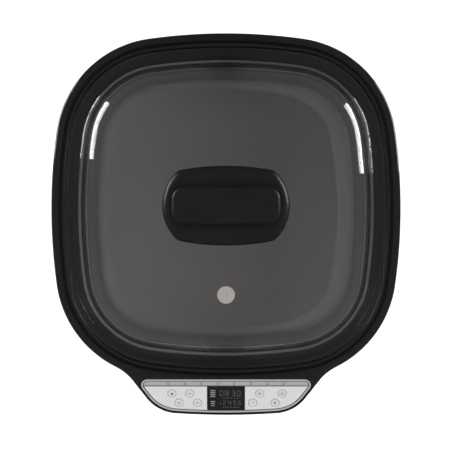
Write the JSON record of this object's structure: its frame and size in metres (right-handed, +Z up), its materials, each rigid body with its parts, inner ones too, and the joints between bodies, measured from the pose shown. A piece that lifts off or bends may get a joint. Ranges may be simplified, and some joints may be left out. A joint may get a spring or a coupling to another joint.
{
  "type": "slow cooker",
  "caption": "Square digital slow cooker with a lift-out nonstick pot, domed glass lid and a sloped front control panel.",
  "frame": {"origin": "centre of the object's box on the surface that its feet stand on", "axes": "+Z up; -Y is the front, where the control panel is; +X is to the right seen from the front"},
  "size_m": [0.334, 0.366, 0.2308],
  "materials": {
    "gloss_black": "moulded piano-black plastic, glossy",
    "housing_black": "satin black moulded housing",
    "black_plastic": "fine-textured black plastic",
    "handle_black": "satin heat-resistant phenolic plastic",
    "bright_trim": "bright trim ring",
    "silver_panel": "silver printed overlay film",
    "label_silver": "silver label strip",
    "display_glass": "dark display window",
    "display": "liquid crystal display module",
    "key_silver": "silver keys with a printed sign",
    "light_pipe": "smoked light pipes",
    "circuit_board": "green solder-masked board",
    "component_black": "moulded electronic parts",
    "capacitor_blue": "sleeved capacitors",
    "transformer": "taped transformer",
    "well_steel": "drawn steel well",
    "cast_heater": "cast aluminium heater plate",
    "band_metal": "steel-backed band element",
    "insulation": "glass-fibre blanket",
    "fuse": "sleeved thermal fuse",
    "fastener": "zinc-plated screws",
    "spring_steel": "spring steel",
    "sensor_metal": "sensor cap",
    "brass_blade": "plated blades",
    "pot_nonstick": "black nonstick coating on aluminium",
    "lid_glass": "clear tempered glass",
    "silicone": "light grey silicone",
    "gasket": "black silicone gasket",
    "rubber": "black rubber",
    "wire": "sleeved wires"
  },
  "bodies": {
    "cooker_base": {"outer_housing": "housing_black", "top_rim": "gloss_black", "control_housing": "gloss_black", "inner_well": "well_steel", "base_heater": "cast_heater", "heater_terminals": "fastener", "band_heater": "band_metal", "insulation_blanket": "insulation", "thermal_fuse": "fuse", "bottom_cover": "black_plastic", "rubber_feet": "rubber", "base_screws": "fastener", "rim_screws": "fastener", "hand_grip_left": "black_plastic", "hand_grip_right": "black_plastic", "wiring_harness": "wire", "panel_bezel": "bright_trim", "label_strip": "label_silver", "overlay_left": "silver_panel", "overlay_right": "silver_panel", "display_window": "display_glass", "display_module": "display", "indicator_lights": "light_pipe", "control_board": "circuit_board", "tact_switches": "component_black", "sensor_spring": "spring_steel", "sensor_bracket": "black_plastic", "power_board": "circuit_board", "power_transformer": "transformer", "power_relay": "component_black", "filter_capacitors": "capacitor_blue", "power_inlet": "black_plastic", "inlet_blades": "brass_blade"},
    "pot": {"cooking_pot": "pot_nonstick"},
    "lid": {"lid_glass": "lid_glass", "steam_vent": "silicone", "handle_gasket": "gasket", "handle_base": "handle_black", "handle_grip": "handle_black", "handle_screws": "fastener", "screw_washers": "fastener"},
    "sensor": {"sensor_plunger": "sensor_metal"},
    "key_menu": {"button_menu": "key_silver"},
    "key_preset": {"button_preset": "key_silver"},
    "key_plus": {"button_plus": "key_silver"},
    "key_minus": {"button_minus": "key_silver"},
    "key_keep_warm": {"button_keep_warm": "key_silver"},
    "key_power": {"button_power": "key_silver"},
    "key_timer": {"button_timer": "key_silver"},
    "key_start": {"button_start": "key_silver"}
  },
  "joints": [
    {"name": "pot_lift", "type": "slide", "parent": "cooker_base", "child": "pot", "axis": [0, 0, 1], "range_m": [0, 0.2]},
    {"name": "lid_lift", "type": "slide", "parent": "pot", "child": "lid", "axis": [0, 0, 1], "range_m": [0, 0.15]},
    {"name": "sensor_plunge", "type": "slide", "parent": "cooker_base", "child": "sensor", "axis": [0, 0, 1], "range_m": [-0.002, 0], "stiffness_N_per_m": 600, "springref_m": 0.004, "deforming": ["sensor_spring"]},
    {"name": "press_menu", "type": "slide", "parent": "cooker_base", "child": "key_menu", "axis": [0, 0.342, -0.9397], "range_m": [0, 0.0006], "stiffness_N_per_m": 300},
    {"name": "press_preset", "type": "slide", "parent": "cooker_base", "child": "key_preset", "axis": [0, 0.342, -0.9397], "range_m": [0, 0.0006], "stiffness_N_per_m": 300},
    {"name": "press_plus", "type": "slide", "parent": "cooker_base", "child": "key_plus", "axis": [0, 0.342, -0.9397], "range_m": [0, 0.0006], "stiffness_N_per_m": 300},
    {"name": "press_minus", "type": "slide", "parent": "cooker_base", "child": "key_minus", "axis": [0, 0.342, -0.9397], "range_m": [0, 0.0006], "stiffness_N_per_m": 300},
    {"name": "press_keep_warm", "type": "slide", "parent": "cooker_base", "child": "key_keep_warm", "axis": [0, 0.342, -0.9397], "range_m": [0, 0.0006], "stiffness_N_per_m": 300},
    {"name": "press_power", "type": "slide", "parent": "cooker_base", "child": "key_power", "axis": [0, 0.342, -0.9397], "range_m": [0, 0.0006], "stiffness_N_per_m": 300},
    {"name": "press_timer", "type": "slide", "parent": "cooker_base", "child": "key_timer", "axis": [0, 0.342, -0.9397], "range_m": [0, 0.0006], "stiffness_N_per_m": 300},
    {"name": "press_start", "type": "slide", "parent": "cooker_base", "child": "key_start", "axis": [0, 0.342, -0.9397], "range_m": [0, 0.0006], "stiffness_N_per_m": 300}
  ]
}
